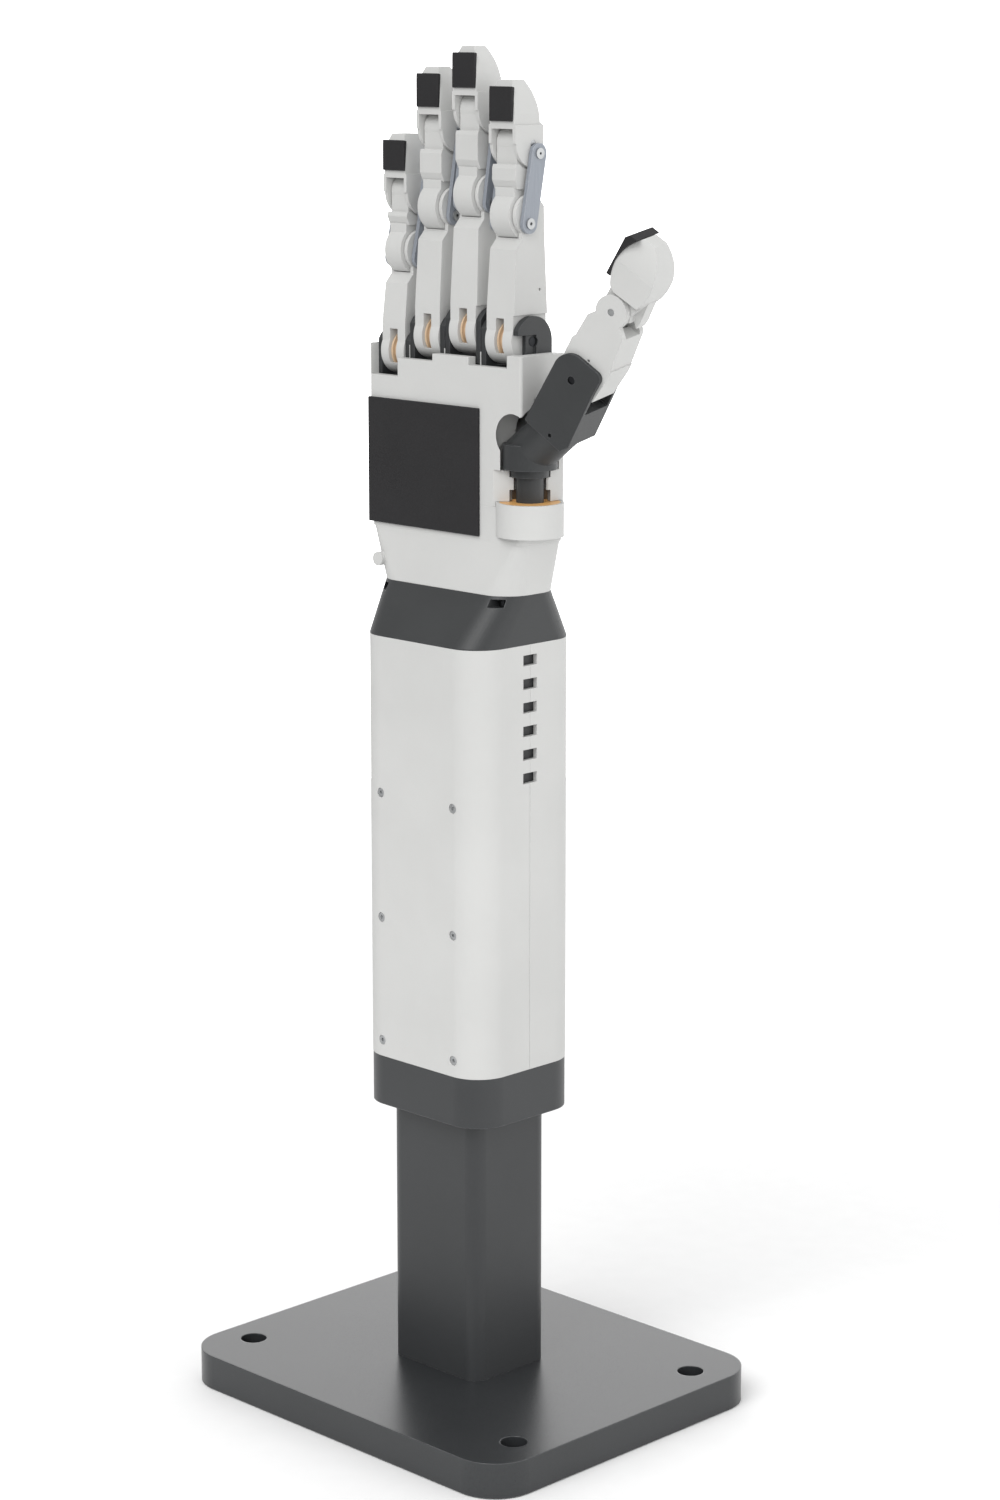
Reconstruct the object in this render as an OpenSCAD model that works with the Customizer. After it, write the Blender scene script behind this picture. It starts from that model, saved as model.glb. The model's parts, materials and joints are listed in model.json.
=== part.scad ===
// Dexterous robot hand on a bench stand.
// Millimetres. Origin: centre of the base plate's underside. +Z up, palm faces -Y, thumb on the +X side.

/* [Stand] */
// Base plate width, along X
plate_w = 180; // [170:1:200]
// Base plate depth, along Y
plate_d = 150; // [140:1:170]
// Base plate thickness
plate_t = 14; // [10:0.5:16]
// Base plate corner radius
plate_r = 18; // [8:1:22]
// Radius of the four floor-bolt holes
bolt_r = 5.25; // [4:0.25:6]
// Column width
col_w = 48.4; // [44:0.2:52]
// Column depth
col_d = 40.4; // [38:0.2:44]
// Column corner radius
col_r = 6; // [3:0.5:9]

/* [Forearm] */
// Forearm shell width
fore_w = 67.6; // [66:0.2:70]
// Forearm shell depth
fore_d = 56.4; // [55:0.2:60]
// Forearm corner radius
fore_r = 13.9; // [10:0.1:15]
// Forearm wall thickness
fore_wall = 2; // [1.6:0.1:2.6]
// Width of each side port
port_w = 7.4; // [5:0.2:8]
// Height of each side port
port_h = 4.1; // [3:0.1:5]

/* [Palm] */
// Palm pad thickness
pad_t = 1.2; // [0.8:0.1:2]
// Thumb collar radius
collar_r = 12.9; // [12.6:0.1:13.6]

/* [Fingers] */
// Knuckle ear radius
ear_r = 9.5; // [9:0.1:10]
// Clearance at each side of a phalanx in its fork
side_gap = 0.3; // [0.2:0.05:0.4]
// Radial clearance of the hinge bores
run_gap = 0.05; // [0.03:0.01:0.08]
// Fingertip pad thickness at its top edge
tip_pad_t = 1.3; // [1:0.1:1.8]

/* [Hidden] */
// Quarter, half or full view is never cut here; every piece is whole.
z_plate = plate_t;
z_col = 121.6;
z_cap = 141.5;
z_fore = 309.8;
z_wrist = 329.5;
z_part = 363;
palm_x = 41.2;
palm_y0 = -12.6;
palm_y1 = 10.8;
palm_yb = -8.8;
palm_yc = (palm_y0 + palm_y1) / 2;
palm_d = palm_y1 - palm_y0;
th_x = 36.3;
th_y = -2.84;
th_a = 35;
th_r = 14;
th_m = [28.23, 414.15];
th_ip = 31.7;
fx = [25.7, 6.1, -13.3, -32];
fw = [13.9, 13.6, 13.5, 12.6];
fz = [424.7, 427.3, 424.1, 417.2];
fl1 = [46.6, 50.9, 48.7, 38.5];
fl2 = [26.2, 31.1, 29.1, 22.0];
fl3 = [23.2, 23.5, 23.0, 22.0];
step_x = [33.7, 13.3, -6.2, -25.4, -40.5];
step_z = [415.3, 418.3, 415.3, 408.2];
pip_y = 0.6;
dip_y = 1.6;
ear_t = 2.4;
link_l = [-1.8, -3.0];
link_u = [1.5, -3.6];
c_white = [0.86, 0.86, 0.85];
c_dark = [0.3, 0.31, 0.32];
c_black = [0.2, 0.2, 0.21];
c_link = [0.6, 0.64, 0.7];
c_amber = [0.88, 0.65, 0.33];
c_steel = [0.75, 0.75, 0.77];

// ---- helpers
module rr(w, d, r) {
  square([w - 2 * r, d], center = true);
  square([w, d - 2 * r], center = true);
  for (x = [-1, 1], y = [-1, 1]) translate([x * (w / 2 - r), y * (d / 2 - r)]) circle(r = r, $fn = 64);
}
module box(x0, x1, y0, y1, z0, z1) translate([x0, y0, z0]) cube([x1 - x0, y1 - y0, z1 - z0]);
// extrude a (Y,Z) outline along X from x0 to x1
module ex(x0, x1) translate([x0, 0, 0]) rotate([90, 0, 90]) linear_extrude(height = x1 - x0) children();
// extrude an (X,Z) outline along Y from y0 to y1
module ey(y0, y1) translate([0, y1, 0]) rotate([90, 0, 0]) linear_extrude(height = y1 - y0) children();
module xcyl(x0, x1, y, z, r) translate([x0, y, z]) rotate([0, 90, 0]) cylinder(r = r, h = x1 - x0, $fn = 64);
module ycyl(y0, y1, x, z, r) translate([x, y0, z]) rotate([-90, 0, 0]) cylinder(r = r, h = y1 - y0, $fn = 64);
module zcyl(z0, z1, x, y, r) translate([x, y, z0]) cylinder(r = r, h = z1 - z0, $fn = 64);

// ---- stand
module base_plate() color(c_dark) difference() {
  linear_extrude(height = plate_t) rr(plate_w, plate_d, plate_r);
  for (x = [-75, 75], y = [-50, 50]) zcyl(-1, plate_t + 1, x, y, bolt_r);
  for (x = [-14, 14], y = [-10, 10]) zcyl(-1, 6, x, y, 5);
}
module column() color(c_dark) translate([0, 0, z_plate]) difference() {
  linear_extrude(height = z_col - z_plate) rr(col_w, col_d, col_r);
  translate([0, 0, 6]) linear_extrude(height = z_col - z_plate - 12) rr(col_w - 8, col_d - 8, 3);
}
module forearm_cap() color(c_dark) difference() {
  translate([0, 0, z_col]) linear_extrude(height = z_cap - z_col) rr(fore_w - 0.2, fore_d - 0.2, fore_r);
  translate([0, 0, z_col + 6]) linear_extrude(height = z_cap - z_col) rr(fore_w - 8, fore_d - 8, fore_r - 4);
}

// ---- forearm
module fore_shell() difference() {
  translate([0, 0, z_cap]) linear_extrude(height = z_fore - z_cap) rr(fore_w, fore_d, fore_r);
  translate([0, 0, z_cap - 1]) linear_extrude(height = z_fore - z_cap + 2) rr(fore_w - 2 * fore_wall, fore_d - 2 * fore_wall, fore_r - fore_wall);
  for (i = [0:5]) box(fore_w / 2 - 4, fore_w / 2 + 1, -port_w / 2, port_w / 2, 257.9 + 9.18 * i - port_h / 2, 257.9 + 9.18 * i + port_h / 2);
}
module forearm_front() color(c_white) {
  difference() {
    intersection() { fore_shell(); box(-50, 50, -50, -0.05, 100, 400); }
    for (x = [-20, 20], z = [148, 198, 248]) {
      ycyl(-40, -10, x, z, 1.05);
      ycyl(-40, -fore_d / 2 + 1.2, x, z, 1.9);
    }
  }
}
module forearm_back() color(c_white) {
  intersection() { fore_shell(); box(-50, 50, 0.05, 50, 100, 400); }
  for (x = [-20, 20], z = [148, 198, 248]) difference() {
    ycyl(-fore_d / 2 + fore_wall + 0.3, fore_d / 2 - fore_wall, x, z, 2.6);
    ycyl(-fore_d / 2, -fore_d / 2 + 16, x, z, 1.0);
  }
}
module forearm_screws() color(c_steel) for (x = [-20, 20], z = [148, 198, 248]) difference() {
  union() {
    ycyl(-fore_d / 2 + 1.0, -fore_d / 2 + 14, x, z, 0.95);
    ycyl(-fore_d / 2 + 0.3, -fore_d / 2 + 1.2, x, z, 1.75);
  }
  translate([x, -fore_d / 2, z]) rotate([-90, 0, 0]) cylinder(r = 0.8, h = 0.9, $fn = 6);
}
module motor_frame() color(c_dark) {
  for (z = [160, 232]) difference() {
    translate([0, 0, z]) linear_extrude(height = 4) rr(50, 40, 6);
    for (x = [-10.5, 0, 10.5], y = [-9, 9]) zcyl(z - 1, z + 5, x, y, 2.8);
    for (x = [-20, 20]) ycyl(-30, 30, x, z + 2, 0.6);
  }
  for (y = [-17.5, 17.5]) box(-4, 4, y - 1.5, y + 1.5, 164, 232);
  for (x = [-12, 12]) zcyl(z_col + 6, 160, x, 0, 3.5);
}
module motors() color(c_steel) for (x = [-10.5, 0, 10.5], y = [-9, 9]) {
  zcyl(168, 232, x, y, 5);
  zcyl(231, 246, x, y, 2.4);
  zcyl(237, 243, x, y, 4.6);
}
module port_board() color(c_black) {
  box(27.4, 29, -9, 9, 250, 309);
  for (i = [0:5]) box(29, 31.6, -4.4, 4.4, 257.9 + 9.18 * i - 2.9, 257.9 + 9.18 * i + 2.9);
}

// ---- wrist and palm
module wrist_body(e = 0) hull() {
  translate([0, 0, z_fore]) linear_extrude(height = 0.4) rr(fore_w - 2 * e, fore_d - 2 * e, fore_r - e);
  translate([0, 0, z_wrist - 0.4]) linear_extrude(height = 0.4) rr(73 - 2 * e, 30.7 - 2 * e, 11.8 - e);
}
module wrist_adaptor() color(c_dark) difference() {
  wrist_body();
  translate([0, 0, z_fore - 1]) linear_extrude(height = 30) rr(40, 18, 4);
  for (x = [-30.5, 30.5], y = [-11, 11]) {
    zcyl(z_wrist - 6, z_wrist + 1, x, y, 1.25);
    box(x - 2.6, x + 2.6, y < 0 ? -30 : y - 1.8, y < 0 ? y + 1.8 : 30, z_wrist - 4.2, z_wrist - 1.2);
  }
}
module wrist_screws() color(c_steel) for (x = [-30.5, 30.5], y = [-11, 11]) {
  zcyl(z_wrist - 4.0, z_wrist - 1.9, x, y, 1.7);
  zcyl(z_wrist - 1.9, z_wrist + 3, x, y, 1.15);
}
module palm_lower() color(c_white) difference() {
  union() {
    hull() {
      translate([0, 0, z_wrist]) linear_extrude(height = 0.4) rr(73, 30.7, 11.8);
      translate([0, palm_yc, 349]) linear_extrude(height = 0.4) rr(2 * palm_x - 0.6, palm_d, 4);
    }
    translate([0, palm_yc, 349.4]) linear_extrude(height = z_part - 349.4) rr(2 * palm_x, palm_d, 3);
    zcyl(352.1, 364.9, th_x, th_y, collar_r);
    ycyl(-15.9, -9, -34, 337, 2.7);
  }
  // thumb shaft bore and bearing seat
  zcyl(353.2, 366, th_x, th_y, 5.6);
  zcyl(363.3, 366, th_x, th_y, 11.6);
  translate([-5, 0.65, 333]) linear_extrude(height = 40) rr(56, 12, 4);
  for (x = [-30.5, 30.5], y = [-11, 11]) zcyl(z_wrist - 1, z_wrist + 3.4, x, y, 1.2);
}
module palm_upper() color(c_white) difference() {
  translate([0, palm_yc, z_part]) linear_extrude(height = 420.2 - z_part) rr(2 * palm_x, palm_d, 1.2);
  // collar and bearing
  zcyl(z_part - 1, 365, th_x, th_y, collar_r + 0.05);
  zcyl(364, 369.4, th_x, th_y, 7.7);
  zcyl(369, 374.7, th_x, th_y, 6.1);
  zcyl(374.2, 388, th_x, th_y, 7.7);
  zcyl(376.8, 391, th_x, th_y, 11.5);
  translate([th_x, th_y - 1.6, 390.3]) sphere(r = 11.7, $fn = 64);
  translate([th_x, th_y, z_part - 1]) rotate([0, 0, -45]) translate([0, -20, 0]) cube([30, 40, 15]);
  // room for the thumb's arm as it swings past the corner
  box(th_x + 1.7, palm_x + 1, th_y - 3, th_y + 10.2, 384.3, 404.4);
  // inside of the hand
  box(-38.9, 22, palm_y0 + 1.8, palm_y1 - 1.8, z_part - 1, 404);
  box(21, th_x + 0.9, th_y + 3.3, palm_y1 - 2.1, 381.2, 403.3);
  // finger bays and the stepped top edge
  for (i = [0:3]) bay(i);
  for (i = [0:3]) box(step_x[i + 1], step_x[i], palm_y0 - 1, palm_yb + 0.1, step_z[i], 430);
}
function bay0(i) = fx[i] - fw[i] / 2 - side_gap - (i == 3 ? 1.8 : ear_t);
function bay1(i) = fx[i] + fw[i] / 2 + side_gap + ear_t + (i == 0 ? 0.25 : 0);
module bay(i) {
  box(bay0(i) - 0.06, bay1(i) + 0.06, palm_yb, palm_y1 - 1.3, fz[i] - 13.6, 440);
  box(bay0(i) - 0.06, bay1(i) + 0.06, palm_yb, palm_y1 + 2, fz[i] - 9.9, 440);
}
module palm_pad() color(c_black) box(-41.1, 19.45, palm_y0 - pad_t, palm_y0, 351.1, 399.6);
module thumb_bearing() color(c_amber) difference() {
  union() {
    zcyl(363.3, 364.9, th_x, th_y, 11.5);
    zcyl(364.5, 369.3, th_x, th_y, 7.5);
  }
  zcyl(363, 370, th_x, th_y, 5.25 + run_gap);
  // the sleeve is open towards the thumb's side
  translate([th_x, th_y, 364.9]) rotate([0, 0, -45]) translate([-3.4, -20, 0]) cube([30, 40, 10]);
}

// ---- knuckle forks
module ear_outline() {
  circle(r = ear_r, $fn = 96);
  translate([-ear_r, -11.6]) square([2 * ear_r, 11.6]);
}
module knuckle(i) color(c_dark) translate([fx[i], 0, fz[i]]) difference() {
  union() {
    for (s = [-1, 1]) {
      t = ear_t + (i == 0 && s > 0 ? 0.25 : i == 3 && s < 0 ? -0.6 : 0);
      a = fw[i] / 2 + side_gap;
      difference() {
        ex(s > 0 ? a : -a - t, s > 0 ? a + t : -a) intersection() {
          ear_outline();
          translate([-8.4, -20]) square([17.9, 40]);
        }
        // palmar notch that leaves the hooked nose
        if (i == 0 && s > 0) box(a - 1, a + t + 1, -20, -3.6, -9.7, 2.6);
        // outside recess
        if (i == 0 && s > 0) box(a + t - 0.9, a + t + 1, -3.6, 1.1, -13, 2.6);
      }
    }
    box(-fw[i] / 2 - side_gap - (i == 3 ? 1.8 : ear_t), fw[i] / 2 + side_gap + ear_t, -8, 9.4, -13.5, -9.9);
  }
  xcyl(-20, 20, 0, 0, 1.9);
}
module mcp_axles() color(c_steel) for (i = [0:3]) {
  a = fw[i] / 2 + side_gap + 1.3;
  xcyl(fx[i] - a, fx[i] + a + 0.6, 0, fz[i], 1.9);
}

// ---- fingers: outlines are in (Y, Z) about the knuckle axis
module prox_blank(i, x0, x1) {
  l = fl1[i];
  ex(x0, x1) circle(r = 9.2, $fn = 96);
  ex(x0, x1) polygon([[-8.3, 0], [-8.3, 11], [-6.9, l - 12.4], [-3.8, l - 9], [-3.8, l - 6], [-1, l - 2], [2.2, l - 2], [2.2, l + 3.4], [3.4, l + 4.5], [6.9, l + 4.5],
    [8.1, l + 3.2], [8.5, l - 12], [9.2, 11], [9.2, 0]]);
  ex(x0, x1) translate([pip_y, l]) circle(r = 7.6, $fn = 96);
}
module proximal(i) color(c_white) translate([fx[i], 0, fz[i]]) difference() {
  h = fw[i] / 2;
  l = fl1[i];
  f = i < 2 ? 0.7 : 0.01;
  intersection() {
    union() prox_blank(i, -h, h + 0.8);
    ey(-12, 12) polygon([[-h, -10], [-h, 14], [-h + 0.5, l - 12], [-h + 0.5, l + 9], [h, l + 9], [h, l - 9], [h + f, 9.9], [h, 9.9], [h, -10]]);
  }
  xcyl(-12, 12, 0, 0, 1.9 + run_gap);
  xcyl(-12, 12, pip_y, l, 1.5);
  // pocket for the middle phalanx's barrel
  xcyl(-h + 1.65, h - 1.65, pip_y, l, 9.5);
  box(-h + 1.65, h - 1.65, -12, 12, l, l + 12);
  // pulley slot at the knuckle
  xcyl(-2.1, 2.1, 0, 0, 7.9);
  box(-2.1, 2.1, -12, -4, -4.5, 8.6);
  box(-2.1, 2.1, -12, 0, -1, 7.6);
  box(-1.4, 1.4, -1.6, 3.2, 7, l - 8);
  // lower link pins
  for (s = [-1, 1]) xcyl(s > 0 ? h - 1.6 : -h - 1, s > 0 ? h + 1 : -h + 1.6, pip_y + link_l[0], l + link_l[1], 0.9);
  // cord anchor
  xcyl(h - 1, h + 2, 5.4, 19, 0.55);
}
module pulley(i) color(c_amber) translate([fx[i], 0, fz[i]]) difference() {
  union() {
    xcyl(-2.0, -1.2, 0, 0, 7.8);
    xcyl(-1.2, 1.2, 0, 0, 6.4);
    xcyl(1.2, 2.0, 0, 0, 7.8);
  }
  xcyl(-3, 3, 0, 0, 1.9 + run_gap);
}
// middle phalanx, (Y, Z) about the first finger joint
module middle(i) color(c_white) translate([fx[i], pip_y, fz[i] + fl1[i]]) difference() {
  h = fw[i] / 2;
  l = fl2[i];
  zb = l - 7.6;
  nw = h - 1.75;
  union() {
    // barrel
    ex(-h + 1.9, h - 1.9) {
      circle(r = 9.2, $fn = 96);
      translate([-6.2, 0]) square([12.6, 10.2]);
    }
    // block over the barrel
    ex(-h + 0.9, h - 0.9) polygon([[-5.4, 9.6], [-6.9, 12.8], [-6.9, zb - 1.4], [-6.4, zb], [5.6, zb], [7.1, zb - 2], [7.3, 9.6]]);
    // neck and its round end
    intersection() {
      ex(-nw, nw) {
        translate([dip_y, l]) circle(r = 6.9, $fn = 96);
        polygon([[-5.2, zb - 1], [-5.2, l - 1.4], [dip_y, l], [dip_y + 5, l - 4.8], [dip_y + 4, zb - 1]]);
      }
      ey(-12, 14) {
        translate([-nw - 1, zb - 2]) square([2 * nw + 2, l + 4.5 - zb + 2]);
        translate([-nw + 2.2, l]) square([2 * nw - 4.4, 9]);
        for (s = [-1, 1]) translate([s * (nw - 2.2), l + 4.5]) circle(r = 2.3, $fn = 48);
      }
    }
  }
  xcyl(-12, 12, 0, 0, 1.5 + run_gap);
  xcyl(-12, 12, dip_y, l, 1.3 + run_gap);
  // shoulders hollowed round the fingertip's cheeks
  for (s = [-1, 1]) xcyl(s > 0 ? h - 1.7 : -h - 1, s > 0 ? h + 1 : -h + 1.7, dip_y, l, 9.7);
}
// fingertip, (Y, Z) about the last joint
module tip_blank(i, x0, x1) {
  t = fl3[i];
  intersection() {
    ex(x0, x1) polygon([[-9.4, 0], [-9.4, 8.2], [-8.6, t - 2.6], [-7.4, t], [-0.4, t], [12, t], [12, 0]]);
    xcyl(x0 - 1, x1 + 1, -24.7, 5.75, 29);
  }
  intersection() {
    xcyl(x0, x1, 0, 0, 8.8);
    box(x0 - 1, x1 + 1, -9.1, 5.5, -10, 10);
  }
}
module distal(i) color(c_white) translate([fx[i], pip_y + dip_y, fz[i] + fl1[i] + fl2[i]]) difference() {
  h = fw[i] / 2;
  t = fl3[i];
  intersection() {
    union() tip_blank(i, -h, h);
    union() {
      ey(-12, 14) polygon([[-h, -9], [-h, 6.9], [-h + 0.6, 6.9], [-h + 0.6, 11], [h - 0.6, 11], [h - 0.6, 6.9], [h, 6.9], [h, -9]]);
      intersection() {
        box(-h + 0.6, h - 0.6, -12, 14, 10.9, t + 1);
        ycyl(-13, 15, -33.5 + h - 0.6, 10, 33.5);
        ycyl(-13, 15, 33.5 - h + 0.6, 10, 33.5);
      }
    }
  }
  // pocket for the neck
  xcyl(-h + 1.45, h - 1.45, 0, 0, 7.25);
  box(-h + 1.45, h - 1.45, -12, 2, -10, 5.4);
  box(-h + 1.45, h - 1.45, -12, 12, -12, 0);
  xcyl(-12, 12, 0, 0, 1.3);
  for (s = [-1, 1]) xcyl(s > 0 ? h - 1.2 : -h - 1, s > 0 ? h + 1 : -h + 1.2, link_u[0], link_u[1], 0.7);
  xcyl(h - 1, h + 2, 0, 0, 0.6);
}
module tip_pad(i) color(c_black) translate([fx[i], pip_y + dip_y, fz[i] + fl1[i] + fl2[i]]) {
  t = fl3[i];
  ex(-5.9, 5.9) polygon([[-9.4, 8.2], [-10.3, 8.2], [-9 - tip_pad_t, t - 4.4], [-8.9 - tip_pad_t, t - 2.3], [-8.6, t - 2.6]]);
}
// coupling links, one on each side
module links(i) color(c_link) translate([fx[i], pip_y, fz[i] + fl1[i]]) {
  h = fw[i] / 2;
  v = [dip_y + link_u[0] - link_l[0], fl2[i] + link_u[1] - link_l[1]];
  n = norm(v);
  a = atan2(v[0], v[1]);
  for (s = [-1, 1]) translate([s > 0 ? h + 0.3 : -h - 1.9, link_l[0], link_l[1]]) rotate([-a, 0, 0]) difference() {
    union() {
      xcyl(0, 1.6, 0, 0, 3.75);
      xcyl(0, 1.6, 0, n, 3.75);
      box(0, 1.6, -3.75, 3.75, 0, n);
    }
    xcyl(-1, 3, 0, 0, 0.9 + run_gap);
    xcyl(-1, 3, 0, n, 1.95);
  }
}
module lower_pins(i) color(c_steel) translate([fx[i], pip_y, fz[i] + fl1[i]]) {
  h = fw[i] / 2;
  for (s = [-1, 1]) difference() {
    union() {
      xcyl(s > 0 ? h - 1.6 : -h - 2.1, s > 0 ? h + 2.1 : -h + 1.6, link_l[0], link_l[1], 0.9);
      xcyl(s > 0 ? h + 1.95 : -h - 2.5, s > 0 ? h + 2.5 : -h - 1.95, link_l[0], link_l[1], 2.05);
    }
    xcyl(s > 0 ? h + 1.2 : -h - 3, s > 0 ? h + 3 : -h - 1.2, link_l[0], link_l[1], 0.6);
  }
  xcyl(-h + 0.6, h - 0.1, 0, 0, 1.5);
}
module upper_pins(i) color(c_steel) translate([fx[i], pip_y + dip_y, fz[i] + fl1[i] + fl2[i]]) {
  h = fw[i] / 2;
  for (s = [-1, 1]) difference() {
    union() {
      xcyl(s > 0 ? h - 1.2 : -h - 2.1, s > 0 ? h + 2.1 : -h + 1.2, link_u[0], link_u[1], 0.7);
      xcyl(s > 0 ? h + 1.95 : -h - 2.5, s > 0 ? h + 2.5 : -h - 1.95, link_u[0], link_u[1], 2.05);
    }
    xcyl(s > 0 ? h + 1.2 : -h - 3, s > 0 ? h + 3 : -h - 1.2, link_u[0], link_u[1], 0.5);
  }
  xcyl(-h + 0.1, h - 0.1, 0, 0, 1.3);
}

// ---- thumb: outlines are in (n, t) about the fork pivot, t runs along the thumb
module thumb_line() translate([th_x + th_m[0], th_y, th_m[1]]) rotate([0, th_a, 0]) children();
module thumb_frame() thumb_line() rotate([0, 0, th_r]) children();
module thumb_fork() color(c_dark) difference() {
  union() {
    zcyl(353.5, 375, th_x, th_y, 5.25);
    zcyl(374.5, 378, th_x, th_y, 7.2);
    zcyl(377.5, 387, th_x, th_y, 10.4);
    // round neck from the hub up into the arm
    intersection() {
      translate([th_x, th_y, 383.3]) rotate([0, 53, 0]) cylinder(r = 9.3, h = 50, center = true, $fn = 96);
      union() {
        zcyl(378, 396, th_x, th_y, 10.4);
        box(th_x, th_x + 30, th_y - 12, th_y + 12, 378, 405);
      }
      thumb_frame() ey(-20, 20) translate([-40, -80]) square([80, 55.2]);
    }
    thumb_frame() ey(-9.5, 9.5) {
      translate([-1.6, 2.2]) circle(r = 7.8, $fn = 96);
      translate([7, 6.9]) circle(r = 2.8, $fn = 96);
      polygon([[-9.4, 2.2], [-9.3, -24.9], [-7.4, -25.3], [8.8, -26.2], [11.1, -22.6], [9.8, 0], [9.8, 6.9], [7, 9.7], [-1.6, 10]]);
    }
  }
  thumb_frame() {
    ey(-7.9, 7.9) translate([-20, -8.3]) square([40, 40]);
    ycyl(-12, 12, -0.4, 0.4, 1.6);
    ycyl(-12, -8, 2.4, -23.6, 0.8);
  }
  // nothing hangs below the hub
  difference() {
    zcyl(350, 377.5, th_x, th_y, 40);
    zcyl(349, 378, th_x, th_y, 7.2);
  }
  // clearance for the palm's corner
  difference() {
    zcyl(395.5, 412, th_x, th_y, 11.8);
    thumb_frame() ey(-9.6, -7.9) translate([-20, -60]) square([60, 80]);
  }
}
module thumb_mcp_axle() color(c_steel) thumb_frame() ycyl(-8.9, 8.9, -0.4, 0.4, 1.6);
module thumb_proximal() color(c_white) thumb_frame() difference() {
  union() {
    // tongue in the fork and body
    ey(-7.6, 7.6) {
      translate([-0.4, 0.4]) circle(r = 8.2, $fn = 96);
      polygon([[-8.6, 0.4], [-8.7, 6.2], [-8.9, 14.4], [-8.1, 15], [-7.7, 25.3], [-4.8, 29.6], [4.6, 29.6], [8.7, 26.2], [9, 25.6], [10.7, 12.3],
        [11.1, 12.3], [11.1, 7.8], [10.2, -2.3], [4, -6.4]]);
    }
    // ears
    ey(-7.6, 7.6) translate([0, th_ip]) circle(r = 6.5, $fn = 96);
  }
  // gap for the tip's tongue
  ey(-4.9, 4.9) {
    translate([0, th_ip]) circle(r = 7.6, $fn = 96);
    translate([-12, th_ip - 2]) square([24, 20]);
    polygon([[4, th_ip - 6.4], [14, th_ip - 6.4], [14, th_ip], [4, th_ip]]);
  }
  ycyl(-12, 12, -0.4, 0.4, 1.6 + run_gap);
  ycyl(-12, 12, 0, th_ip, 1.4);
  ycyl(-8, -5, 1.3, 10.3, 0.6);
}
module thumb_ip_axle() color(c_steel) thumb_frame() ycyl(-7.2, 7.2, 0, th_ip, 1.4);
module thumb_distal() color(c_white) thumb_frame() difference() {
  union() {
    // tongue with its heel
    ey(-4.6, 4.6) {
      translate([0, th_ip]) circle(r = 5.9, $fn = 96);
      polygon([[-5.9, th_ip], [-5.9, th_ip + 9], [8.9, th_ip + 9], [9.6, th_ip + 0.4], [9.3, th_ip - 2.2], [5.9, th_ip + 0.6], [5.9, th_ip]]);
    }
    // tip
    intersection() {
      ey(-7.4, 7.4) intersection() {
        polygon([[-7.3, 43], [-5.4, 40.1], [-2.9, 38.7], [9, 38.9], [9.9, 40.4], [9.9, 58], [2.6, 61.8], [-9.3, 61.8], [-9.3, 45]]);
        translate([-8.6, 46.6]) circle(r = 18.4, $fn = 160);
        translate([10, 49.5]) circle(r = 18, $fn = 160);
      }
      ex(-20, 20) union() {
        translate([-7.4, 30]) square([14.8, 20]);
        intersection() {
          translate([-22.6, 48]) circle(r = 30, $fn = 160);
          translate([22.6, 48]) circle(r = 30, $fn = 160);
          translate([-10, 40]) square([20, 40]);
        }
      }
    }
  }
  ycyl(-12, 12, 0, th_ip, 1.4 + run_gap);
  // hollow beside the heel
  ey(-5.5, -1.4) polygon([[6.2, th_ip + 1.6], [8.9, th_ip - 4], [12, th_ip], [12, th_ip + 9], [9, th_ip + 9.4]]);
}
module thumb_pad() color(c_black) thumb_frame() difference() {
  ey(-7.9, 7.9) polygon([[-6, 43.3], [-8.8, 43.3], [-8.8, 59.4], [-7.4, 61.2], [-4.2, 61.2], [-2, 58], [-2, 50]]);
  // its inside follows the tip
  ey(-9, 9) intersection() {
    translate([-8.6, 46.6]) circle(r = 18.45, $fn = 160);
    translate([10, 49.5]) circle(r = 18.05, $fn = 160);
  }
}

base_plate();
column();
forearm_cap();
forearm_front();
forearm_back();
forearm_screws();
motor_frame();
motors();
port_board();
wrist_adaptor();
wrist_screws();
palm_lower();
palm_upper();
palm_pad();
thumb_bearing();
knuckle(0);  // knuckle_index
knuckle(1);  // knuckle_middle
knuckle(2);  // knuckle_ring
knuckle(3);  // knuckle_pinky
mcp_axles();
proximal(0);  // index_proximal
pulley(0);  // index_pulley
middle(0);  // index_middle
distal(0);  // index_distal
tip_pad(0);  // index_pad
links(0);  // index_links
lower_pins(0);  // index_lower_pins
upper_pins(0);  // index_upper_pins
proximal(1);  // middle_proximal
pulley(1);  // middle_pulley
middle(1);  // middle_middle
distal(1);  // middle_distal
tip_pad(1);  // middle_pad
links(1);  // middle_links
lower_pins(1);  // middle_lower_pins
upper_pins(1);  // middle_upper_pins
proximal(2);  // ring_proximal
pulley(2);  // ring_pulley
middle(2);  // ring_middle
distal(2);  // ring_distal
tip_pad(2);  // ring_pad
links(2);  // ring_links
lower_pins(2);  // ring_lower_pins
upper_pins(2);  // ring_upper_pins
proximal(3);  // pinky_proximal
pulley(3);  // pinky_pulley
middle(3);  // pinky_middle
distal(3);  // pinky_distal
tip_pad(3);  // pinky_pad
links(3);  // pinky_links
lower_pins(3);  // pinky_lower_pins
upper_pins(3);  // pinky_upper_pins
thumb_fork();
thumb_mcp_axle();
thumb_proximal();
thumb_ip_axle();
thumb_distal();
thumb_pad();
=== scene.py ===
import bpy, json, math
from mathutils import Vector, Matrix

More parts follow.
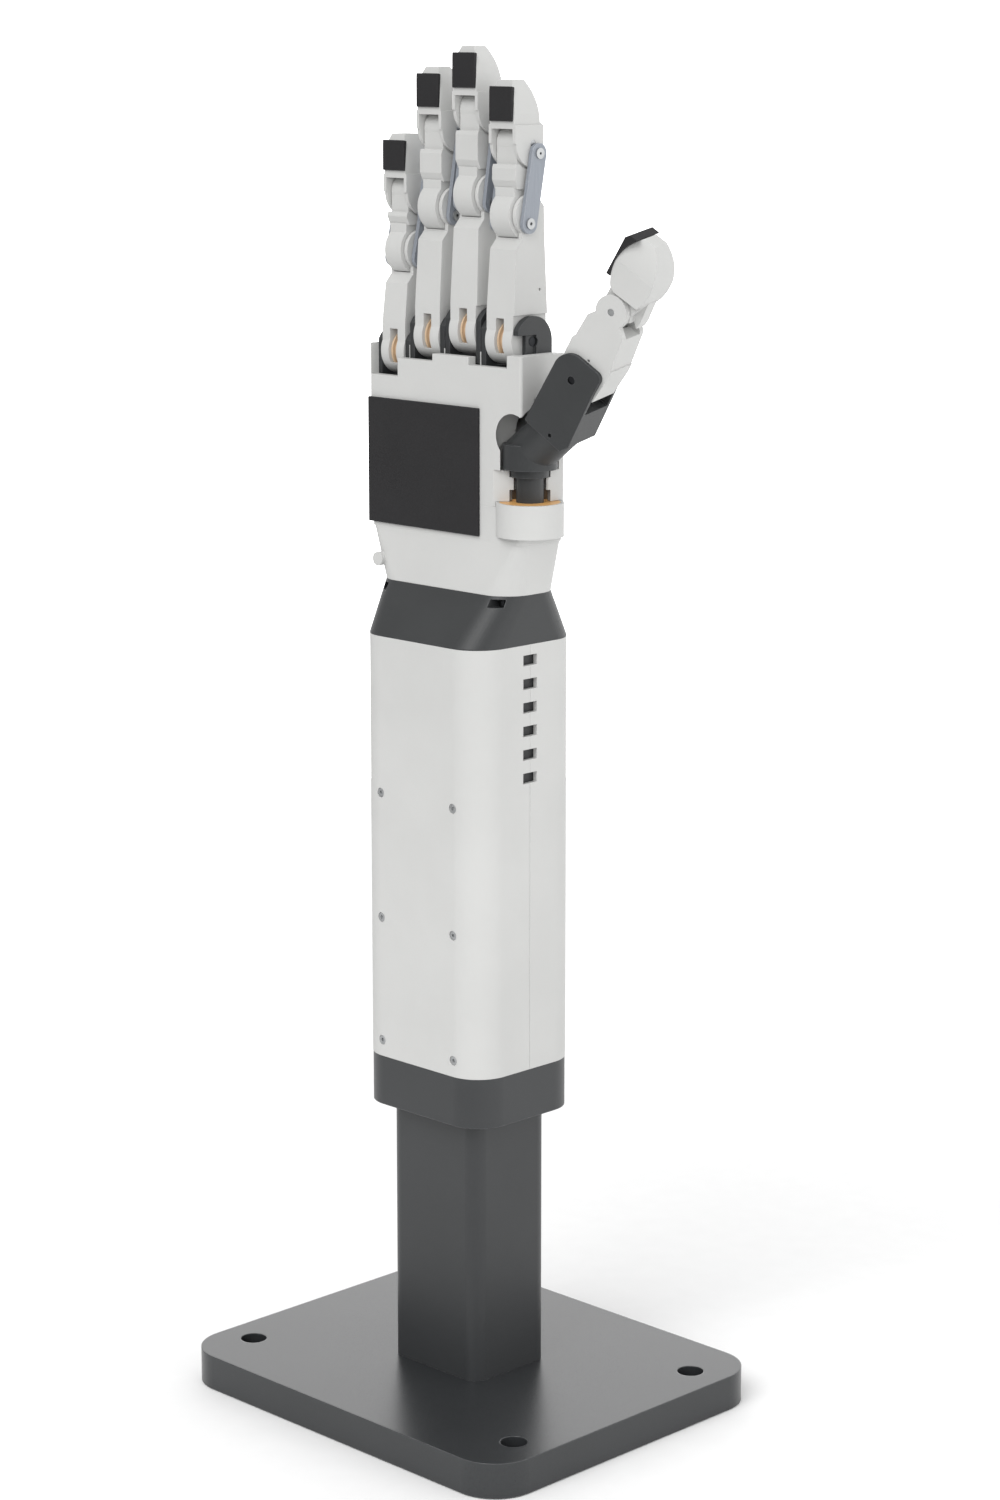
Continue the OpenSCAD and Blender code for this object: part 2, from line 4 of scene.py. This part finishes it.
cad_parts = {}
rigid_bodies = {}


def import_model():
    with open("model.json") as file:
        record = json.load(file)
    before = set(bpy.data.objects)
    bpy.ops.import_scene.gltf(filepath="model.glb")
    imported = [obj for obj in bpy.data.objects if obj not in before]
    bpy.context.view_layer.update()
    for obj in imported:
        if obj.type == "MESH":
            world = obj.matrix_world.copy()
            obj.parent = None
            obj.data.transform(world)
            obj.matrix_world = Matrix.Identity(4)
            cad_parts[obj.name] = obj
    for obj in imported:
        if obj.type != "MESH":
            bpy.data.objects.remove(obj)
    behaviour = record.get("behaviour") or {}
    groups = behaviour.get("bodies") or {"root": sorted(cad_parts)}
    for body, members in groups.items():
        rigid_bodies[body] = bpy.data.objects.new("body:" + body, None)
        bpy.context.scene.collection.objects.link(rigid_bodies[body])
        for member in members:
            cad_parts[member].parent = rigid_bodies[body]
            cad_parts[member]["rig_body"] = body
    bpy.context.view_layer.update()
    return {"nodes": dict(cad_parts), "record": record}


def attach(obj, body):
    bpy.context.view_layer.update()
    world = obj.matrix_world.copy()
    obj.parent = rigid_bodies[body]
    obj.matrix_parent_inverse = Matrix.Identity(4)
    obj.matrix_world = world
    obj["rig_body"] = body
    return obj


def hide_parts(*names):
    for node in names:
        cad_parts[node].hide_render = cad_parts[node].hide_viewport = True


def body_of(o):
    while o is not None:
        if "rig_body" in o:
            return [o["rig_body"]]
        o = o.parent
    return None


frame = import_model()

scene = bpy.context.scene

# ------------------------------------------------------------------ camera
CAM = (0.9568, -0.9383, 0.5479)
AZ, PITCH = math.radians(45.03), math.radians(11.974)
cd = bpy.data.cameras.new("cam")
cam = bpy.data.objects.new("cam", cd)
scene.collection.objects.link(cam)
cd.sensor_fit = "VERTICAL"
cd.sensor_height = 36
cd.sensor_width = 24
cd.lens = 3516.9 * 36 / 1500
cd.clip_start = 0.01
cd.clip_end = 400
right = Vector((math.cos(AZ), math.sin(AZ), 0))
back = Vector((math.sin(AZ) * math.cos(PITCH), -math.cos(AZ) * math.cos(PITCH), math.sin(PITCH)))
up = back.cross(right)
cam.matrix_world = Matrix(((right.x, up.x, back.x, CAM[0]), (right.y, up.y, back.y, CAM[1]), (right.z, up.z, back.z, CAM[2]), (0, 0, 0, 1)))
scene.camera = cam


# ------------------------------------------------------------------ materials
def lin(*rgb):
    return tuple((c / 255 / 12.92 if c / 255 <= 0.04045 else ((c / 255 + 0.055) / 1.055) ** 2.4) for c in rgb) + (1.0,)


class Mat:
    """A procedural material: every node works on the part's own coordinates, in metres."""

    def __init__(self, name):
        self.m = bpy.data.materials.new(name)
        self.m.use_nodes = True
        self.nt = self.m.node_tree
        self.b = self.nt.nodes["Principled BSDF"]
        self.tc = self.nt.nodes.new("ShaderNodeTexCoord")

    def n(self, kind, **kw):
        o = self.nt.nodes.new(kind)
        for k, v in kw.items():
            if hasattr(o, k):
                setattr(o, k, v)
            else:
                o.inputs[k].default_value = v
        return o

    def l(self, a, b):
        self.nt.links.new(a, b)

    def coords(self, scale=(1, 1, 1), rot=(0, 0, 0)):
        mp = self.n("ShaderNodeMapping")
        mp.inputs["Scale"].default_value = scale
        mp.inputs["Rotation"].default_value = rot
        self.l(self.tc.outputs["Object"], mp.inputs["Vector"])
        return mp.outputs["Vector"]

    def noise(self, scale, detail=3.0, rough=0.55, vec=None, dist=0.0):
        t = self.n("ShaderNodeTexNoise")
        t.inputs["Scale"].default_value = scale
        t.inputs["Detail"].default_value = detail
        t.inputs["Roughness"].default_value = rough
        t.inputs["Distortion"].default_value = dist
        self.l(vec if vec is not None else self.tc.outputs["Object"], t.inputs["Vector"])
        return t.outputs["Fac"]

    def voronoi(self, scale, feature="F1", vec=None):
        t = self.n("ShaderNodeTexVoronoi")
        t.feature = feature
        t.inputs["Scale"].default_value = scale
        self.l(vec if vec is not None else self.tc.outputs["Object"], t.inputs["Vector"])
        return t.outputs["Distance"]

    def ramp(self, fac, lo, hi, a=0.0, b=1.0):
        t = self.n("ShaderNodeMapRange")
        t.inputs["From Min"].default_value = lo
        t.inputs["From Max"].default_value = hi
        t.inputs["To Min"].default_value = a
        t.inputs["To Max"].default_value = b
        t.clamp = True
        self.l(fac, t.inputs["Value"])
        return t.outputs["Result"]

    def mix(self, fac, a, b, blend="MIX"):
        t = self.n("ShaderNodeMix")
        t.data_type = "RGBA"
        t.blend_type = blend
        for sock, v in ((t.inputs[6], a), (t.inputs[7], b)):
            if isinstance(v, tuple):
                sock.default_value = v
            else:
                self.l(v, sock)
        if isinstance(fac, float):
            t.inputs[0].default_value = fac
        else:
            self.l(fac, t.inputs[0])
        return t.outputs[2]

    def math(self, op, a, b=None):
        t = self.n("ShaderNodeMath")
        t.operation = op
        for i, v in enumerate((a, b)):
            if v is None:
                continue
            if isinstance(v, (int, float)):
                t.inputs[i].default_value = v
            else:
                self.l(v, t.inputs[i])
        return t.outputs[0]

    def edge(self, radius, gain=6.0):
        """1 on convex and concave edges, 0 on open surface, broken up by a fine noise"""
        bv = self.n("ShaderNodeBevel", samples=4)
        bv.inputs["Radius"].default_value = radius
        g = self.n("ShaderNodeNewGeometry")
        d = self.n("ShaderNodeVectorMath")
        d.operation = "DOT_PRODUCT"
        self.l(bv.outputs["Normal"], d.inputs[0])
        self.l(g.outputs["Normal"], d.inputs[1])
        e = self.math("MULTIPLY", self.math("SUBTRACT", 1.0, d.outputs["Value"]), gain)
        return self.math("MULTIPLY", e, self.ramp(self.noise(900, 2), 0.35, 0.65, 0.35, 1.0))

    def soft_edges(self, radius):
        """the surface normal, rounded over the edges"""
        bv = self.n("ShaderNodeBevel", samples=6)
        bv.inputs["Radius"].default_value = radius
        return bv.outputs["Normal"]

    def bump(self, height, distance, strength=1.0, prev=None):
        t = self.n("ShaderNodeBump")
        t.inputs["Distance"].default_value = distance
        t.inputs["Strength"].default_value = strength
        self.l(height, t.inputs["Height"])
        if prev is not None:
            self.l(prev, t.inputs["Normal"])
        return t.outputs["Normal"]

    def done(self, color=None, rough=None, normal=None, **sockets):
        if color is not None:
            self.l(color, self.b.inputs["Base Color"])
        if rough is not None:
            self.l(rough, self.b.inputs["Roughness"])
        if normal is not None:
            self.l(normal, self.b.inputs["Normal"])
        for k, v in sockets.items():
            self.b.inputs[k.replace("_", " ")].default_value = v
        return self.m


def white_shell():
    m = Mat("white_shell")
    grain = m.noise(5200, 2, 0.6)                     # sintered nylon grain, about 0.2 mm
    cloud = m.noise(26, 4, 0.5)                       # faint unevenness over centimetres
    layers = m.noise(1, 2, 0.5, vec=m.coords((30, 30, 5200)))   # printed layers, barely there
    c = m.mix(m.ramp(cloud, 0.35, 0.65), (0.535, 0.537, 0.527, 1), (0.563, 0.565, 0.555, 1))
    c = m.mix(m.ramp(grain, 0.3, 0.72, 0.0, 0.35), c, (0.50, 0.50, 0.49, 1))
    c = m.mix(m.math("MULTIPLY", m.edge(0.0005), 0.45), c, (0.66, 0.66, 0.65, 1))
    r = m.ramp(grain, 0.3, 0.7, 0.5, 0.68)
    nrm = m.bump(m.math("ADD", grain, m.math("MULTIPLY", layers, 0.5)), 0.00003, 0.6, m.soft_edges(0.00035))
    return m.done(c, r, nrm, Specular_IOR_Level=0.3)


def dark_anodised(name="dark_anodised", base=(0.025, 0.0265, 0.028), rough=(0.34, 0.48), spec=0.5):
    m = Mat(name)
    grain = m.noise(4200, 2, 0.65)                    # bead-blasted surface
    cloud = m.noise(18, 3, 0.5)
    c = m.mix(m.ramp(cloud, 0.3, 0.7), base + (1,), tuple(v * 1.25 for v in base) + (1,))
    c = m.mix(m.ramp(grain, 0.35, 0.7, 0.0, 0.4), c, tuple(v * 1.8 for v in base) + (1,))
    c = m.mix(m.math("MULTIPLY", m.edge(0.0007), 0.6), c, (0.13, 0.134, 0.138, 1))
    r = m.ramp(grain, 0.3, 0.7, *rough)
    return m.done(c, r, m.bump(grain, 0.00003, 0.5, m.soft_edges(0.0006)), Specular_IOR_Level=spec)


def dark_polymer():
    m = Mat("dark_polymer")
    grain = m.noise(5600, 2, 0.6)
    layers = m.noise(1, 2, 0.5, vec=m.coords((40, 40, 6000)))
    cloud = m.noise(40, 3, 0.5)
    c = m.mix(m.ramp(cloud, 0.3, 0.7), (0.021, 0.0225, 0.0235, 1), (0.027, 0.029, 0.030, 1))
    c = m.mix(m.ramp(grain, 0.35, 0.7, 0.0, 0.4), c, (0.040, 0.042, 0.044, 1))
    c = m.mix(m.math("MULTIPLY", m.edge(0.0005), 0.4), c, (0.11, 0.115, 0.12, 1))
    r = m.ramp(grain, 0.3, 0.7, 0.38, 0.56)
    nrm = m.bump(m.math("ADD", grain, m.math("MULTIPLY", layers, 0.6)), 0.00003, 0.6, m.soft_edges(0.0004))
    return m.done(c, r, nrm, Specular_IOR_Level=0.5)


def black_rubber():
    m = Mat("black_rubber")
    pores = m.voronoi(2600)                           # fine cell texture of a cast pad
    grain = m.noise(7000, 2, 0.6)
    cloud = m.noise(60, 3, 0.5)
    c = m.mix(m.ramp(cloud, 0.3, 0.7), (0.0105, 0.0102, 0.011, 1), (0.0145, 0.014, 0.015, 1))
    c = m.mix(m.ramp(pores, 0.1, 0.6, 0.0, 0.5), c, (0.022, 0.0215, 0.023, 1))
    c = m.mix(m.math("MULTIPLY", m.edge(0.0004), 0.5), c, (0.07, 0.07, 0.072, 1))
    r = m.ramp(grain, 0.3, 0.7, 0.6, 0.82)
    nrm = m.bump(pores, 0.00005, 0.5, m.bump(grain, 0.00002, 0.6))
    return m.done(c, r, nrm, Specular_IOR_Level=0.3, Sheen_Weight=0.04, Sheen_Roughness=0.5)


def steel(name, a, b, rough, axis):
    m = Mat(name)
    sc = [5200, 5200, 5200]
    sc[axis] = 120                                    # turned or brushed along one axis
    lines = m.noise(1, 3, 0.6, vec=m.coords(tuple(sc)))
    cloud = m.noise(300, 2)
    c = m.mix(m.ramp(lines, 0.3, 0.7), a, b)
    c = m.mix(m.ramp(cloud, 0.4, 0.7, 0.0, 0.3), c, tuple(x * 0.72 for x in a[:3]) + (1,))
    r = m.ramp(lines, 0.3, 0.7, rough, rough + 0.16)
    return m.done(c, r, m.bump(lines, 0.00001, 0.5), Metallic=1.0)


def link_grey():
    m = Mat("link_grey")
    lines = m.noise(1, 3, 0.6, vec=m.coords((3000, 6000, 160)))   # brushed along the link
    grain = m.noise(6000, 2)
    c = m.mix(m.ramp(lines, 0.3, 0.7), (0.235, 0.255, 0.29, 1), (0.285, 0.308, 0.345, 1))
    c = m.mix(m.math("MULTIPLY", m.edge(0.00035), 0.7), c, (0.46, 0.48, 0.52, 1))
    r = m.ramp(grain, 0.3, 0.7, 0.34, 0.5)
    return m.done(c, r, m.bump(lines, 0.00001, 0.6), Metallic=0.15, Specular_IOR_Level=0.5)


def amber_polymer(name, a, b, worn, sleeve=None):
    m = Mat(name)
    grain = m.noise(5000, 2)
    swirl = m.noise(160, 3, 0.6, dist=1.2)
    c = m.mix(m.ramp(swirl, 0.3, 0.7), a, b)
    c = m.mix(m.math("MULTIPLY", m.edge(0.0003), 0.6), c, worn)
    if sleeve:                                        # painted shade: the amber is darkened above this height, in metres, where the sleeve sits shadowed in its slot
        xyz = m.n("ShaderNodeSeparateXYZ")
        m.l(m.tc.outputs["Object"], xyz.inputs[0])
        # the painted shade colour: a shadowed brown amber for the sleeve
        sleeve_shade = m.mix(m.ramp(swirl, 0.3, 0.7), (0.055, 0.033, 0.014, 1), (0.10, 0.060, 0.024, 1))
        c = m.mix(m.ramp(xyz.outputs["Z"], sleeve, sleeve + 0.0004), c, sleeve_shade)
    r = m.ramp(grain, 0.3, 0.7, 0.3, 0.46)
    return m.done(c, r, m.bump(grain, 0.00001, 0.6), Specular_IOR_Level=0.5)


def board_black():
    m = Mat("board_black")
    grain = m.noise(4200, 2)
    weave = m.voronoi(900)
    c = m.mix(m.ramp(weave, 0.1, 0.7), (0.016, 0.017, 0.018, 1), (0.026, 0.027, 0.028, 1))
    r = m.ramp(grain, 0.3, 0.7, 0.38, 0.6)
    return m.done(c, r, m.bump(weave, 0.00003, 0.5))


MATS = {
    "white_shell": white_shell(),
    "dark_anodised": dark_anodised(),
    "dark_polymer": dark_polymer(),
    "black_rubber": black_rubber(),
    "steel": steel("steel", (0.42, 0.43, 0.435, 1), (0.54, 0.55, 0.555, 1), 0.36, 0),
    "motor_steel": steel("motor_steel", (0.42, 0.43, 0.44, 1), (0.55, 0.56, 0.57, 1), 0.3, 2),
    "black_steel": steel("black_steel", (0.022, 0.023, 0.025, 1), (0.045, 0.047, 0.05, 1), 0.34, 0),
    "link_grey": link_grey(),
    # the amber above 0.3652 m, the bearing's sleeve, gets painted shade
    "amber_polymer": amber_polymer("amber_polymer", (0.70, 0.37, 0.115, 1), (0.80, 0.45, 0.16, 1), (0.86, 0.58, 0.28, 1), 0.3652),
    "board_black": board_black(),
}
PALE = amber_polymer("amber_polymer_pulley", (0.56, 0.41, 0.27, 1), (0.66, 0.49, 0.33, 1), (0.72, 0.58, 0.42, 1))
PLATE = dark_anodised("dark_anodised_base", (0.021, 0.0225, 0.024), (0.26, 0.36), 0.5)
SLOT = {s["node"]: s["material_slot"] for s in frame["record"]["subparts"]}

for name, o in frame["nodes"].items():
    o.data.materials.clear()
    o.data.materials.append(PALE if name.endswith("_pulley") else PLATE if name == "base_plate" else MATS[SLOT[name]])

# ------------------------------------------------------------------ moulded rubber pads, in place of the CAD's plain solids
import bmesh


def pad(node, radius, grow):
    """The pad's outline with its edges rolled over, as cast silicone is."""
    src = frame["nodes"][node]
    bm = bmesh.new()
    bm.from_mesh(src.data)
    bmesh.ops.remove_doubles(bm, verts=bm.verts, dist=2e-6)
    bmesh.ops.dissolve_limit(bm, angle_limit=math.radians(2), verts=bm.verts, edges=bm.edges)
    bm.normal_update()
    sharp = [e for e in bm.edges if len(e.link_faces) == 2 and e.calc_face_angle(0) > math.radians(25)]
    bmesh.ops.bevel(bm, geom=sharp, offset=radius, segments=4, profile=0.5, affect="EDGES", clamp_overlap=True)
    bm.normal_update()
    me = bpy.data.meshes.new(node + "_cast")
    bm.to_mesh(me)
    bm.free()
    for p in me.polygons:
        p.use_smooth = True
    o = bpy.data.objects.new(node + "_cast", me)
    scene.collection.objects.link(o)
    me.materials.append(MATS["black_rubber"])
    wn = o.modifiers.new("normals", "WEIGHTED_NORMAL")
    wn.keep_sharp = True
    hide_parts(node)
    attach(o, body_of(src)[0])
    return o


pad("palm_pad", 0.00035, 0)
for f in ("index", "middle", "ring", "pinky", "thumb"):
    pad(f + "_pad", 0.0003, 0)


# ------------------------------------------------------------------ floor and light
def floor():
    bm = bmesh.new()
    bmesh.ops.create_circle(bm, cap_ends=True, segments=128, radius=1.15)
    me = bpy.data.meshes.new("floor")
    bm.to_mesh(me)
    bm.free()
    o = bpy.data.objects.new("floor", me)
    scene.collection.objects.link(o)
    o.location = (0, 0, -0.0004)
    m = Mat("floor_white")
    g = m.noise(90, 3)
    c = m.mix(m.ramp(g, 0.3, 0.7), (0.91, 0.91, 0.91, 1), (0.925, 0.925, 0.925, 1))
    m.done(c, m.ramp(g, 0.3, 0.7, 0.8, 0.92), Specular_IOR_Level=0.1)
    me.materials.append(m.m)


floor()


def sun(name, towards, strength, angle, glossy=True):
    """A very large soft source, far enough off to light the whole floor alike."""
    d = bpy.data.lights.new(name, "SUN")
    d.energy = strength
    d.angle = math.radians(angle)
    o = bpy.data.objects.new(name, d)
    scene.collection.objects.link(o)
    o.location = Vector(towards).normalized() * 3
    o.rotation_euler = Vector(towards).to_track_quat("Z", "Y").to_euler()
    o.visible_glossy = glossy
    return o


sun("key", (0.15, -0.8, 0.75), 1.65, 40)
sun("fill", (0.64, -0.72, 0.3), 0.55, 18, glossy=False)

# a white studio: seen directly it is plain white; its walls light the object more than its ceiling does
w = bpy.data.worlds.new("studio")
scene.world = w
w.use_nodes = True
nt = w.node_tree
bg = nt.nodes["Background"]
bg.inputs["Color"].default_value = (1, 1, 1, 1)
tc = nt.nodes.new("ShaderNodeTexCoord")
sep = nt.nodes.new("ShaderNodeSeparateXYZ")
nt.links.new(tc.outputs["Generated"], sep.inputs[0])
dot = nt.nodes.new("ShaderNodeVectorMath")
dot.operation = "DOT_PRODUCT"
dot.inputs[1].default_value = (0.35, 0.94, 0)
nt.links.new(tc.outputs["Generated"], dot.inputs[0])


def ranged(src, lo, hi, a, b):
    t = nt.nodes.new("ShaderNodeMapRange")
    for k, v in (("From Min", lo), ("From Max", hi), ("To Min", a), ("To Max", b)):
        if isinstance(v, float):
            t.inputs[k].default_value = v
        else:
            nt.links.new(v, t.inputs[k])
    nt.links.new(src, t.inputs["Value"])
    return t.outputs["Result"]


walls = ranged(dot.outputs["Value"], -0.7, 0.4, 0.3, 1.6)
sky = ranged(sep.outputs["Z"], 0.2, 0.6, walls, 0.68)
far = nt.nodes.new("ShaderNodeVectorMath")
far.operation = "DOT_PRODUCT"
far.inputs[1].default_value = (-0.69, 0.69, 0.22)
nt.links.new(tc.outputs["Generated"], far.inputs[0])
lit = nt.nodes.new("ShaderNodeMath")
nt.links.new(sky, lit.inputs[0])
nt.links.new(ranged(far.outputs["Value"], 0.8, 0.97, 0.0, 0.9), lit.inputs[1])

lp = nt.nodes.new("ShaderNodeLightPath")
mx = nt.nodes.new("ShaderNodeMath")
mx.operation = "MAXIMUM"
nt.links.new(lp.outputs["Is Camera Ray"], mx.inputs[0])
nt.links.new(lit.outputs[0], mx.inputs[1])
nt.links.new(mx.outputs[0], bg.inputs["Strength"])

scene.view_settings.view_transform = "Standard"
scene.view_settings.look = "None"
scene.view_settings.exposure = 0.0
scene.view_settings.gamma = 1.0
